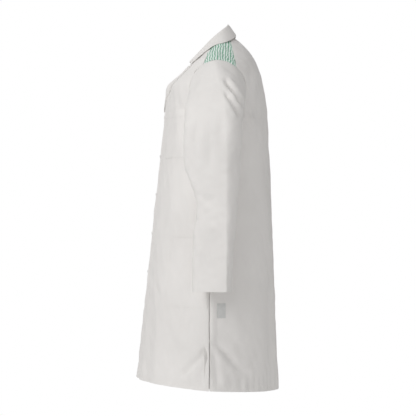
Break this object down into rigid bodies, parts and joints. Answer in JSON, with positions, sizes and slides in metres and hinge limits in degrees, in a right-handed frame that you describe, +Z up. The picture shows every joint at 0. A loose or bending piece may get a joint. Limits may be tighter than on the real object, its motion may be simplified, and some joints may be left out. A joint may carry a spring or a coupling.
{
  "type": "lab coat",
  "caption": "Knee-length white lab coat with a notched collar, patterned shoulder insets, press-stud front, patch pockets and side slits; the fronts open and the sleeves swing",
  "frame": {"origin": "centre of the neck opening, level with the back collar seam", "axes": "+Z up along the standing wearer, the front faces -Y, the wearer's left is +X"},
  "size_m": [0.7072, 0.4263, 1.0886],
  "materials": {
    "coat_cloth": "white polyester-cotton twill, washed and lightly pressed",
    "facing_cloth": "inner side of the white twill, with its turned edges stitched",
    "patterned_knit": "soft stretch fabric printed with a dark green wavy pattern on pale green",
    "sewing_thread": "dense white polyester thread",
    "stud_enamel": "white enamelled stud cap, smooth",
    "stud_metal": "nickel-plated stud parts",
    "label_tape": "woven white tape, blank",
    "grey_tape": "plain grey woven tape"
  },
  "bodies": {
    "root": {"back_panel": "coat_cloth", "front_panel_left": "coat_cloth", "front_panel_right": "coat_cloth", "lapel_left": "coat_cloth", "lapel_right": "coat_cloth", "shoulder_panel_left": "patterned_knit", "shoulder_panel_right": "patterned_knit", "under_collar": "facing_cloth", "upper_collar": "coat_cloth", "back_neck_facing": "facing_cloth", "chest_pocket": "coat_cloth", "lower_pocket_left": "coat_cloth", "lower_pocket_right": "coat_cloth", "slit_facing_left": "facing_cloth", "slit_facing_right": "facing_cloth", "vent_facing_left": "facing_cloth", "vent_facing_right": "facing_cloth", "bar_tacks": "sewing_thread", "neck_label": "label_tape", "hanger_loop": "label_tape", "side_label": "grey_tape"},
    "left_front": {"front_edge_left": "coat_cloth", "front_facing_left": "facing_cloth", "stud_caps": "stud_enamel", "stud_sockets": "stud_metal"},
    "right_front": {"front_edge_right": "coat_cloth", "front_facing_right": "facing_cloth", "stud_posts": "stud_metal", "stud_backs": "stud_metal"},
    "left_arm": {"sleeve_left": "coat_cloth", "cuff_hem_left": "facing_cloth"},
    "right_arm": {"sleeve_right": "coat_cloth", "cuff_hem_right": "facing_cloth"}
  },
  "joints": [
    {"name": "left_front_opens", "type": "hinge", "parent": "root", "child": "left_front", "pos_m": [0.07, -0.137, -0.232], "axis": [-0.0995, 0.0648, 0.9929], "range_deg": [0, 80]},
    {"name": "right_front_opens", "type": "hinge", "parent": "root", "child": "right_front", "pos_m": [-0.07, -0.137, -0.232], "axis": [0.0995, 0.0648, 0.9929], "range_deg": [-48, 0]},
    {"name": "left_sleeve_swings", "type": "hinge", "parent": "root", "child": "left_arm", "pos_m": [0.24, 0.013, -0.172], "axis": [1, 0, 0], "range_deg": [-40, 20]},
    {"name": "right_sleeve_swings", "type": "hinge", "parent": "root", "child": "right_arm", "pos_m": [-0.24, 0.013, -0.172], "axis": [1, 0, 0], "range_deg": [-40, 20]}
  ],
  "couplings": [
    {"joint": "right_front_opens", "follows": "left_front_opens", "ratio": -0.6}
  ]
}
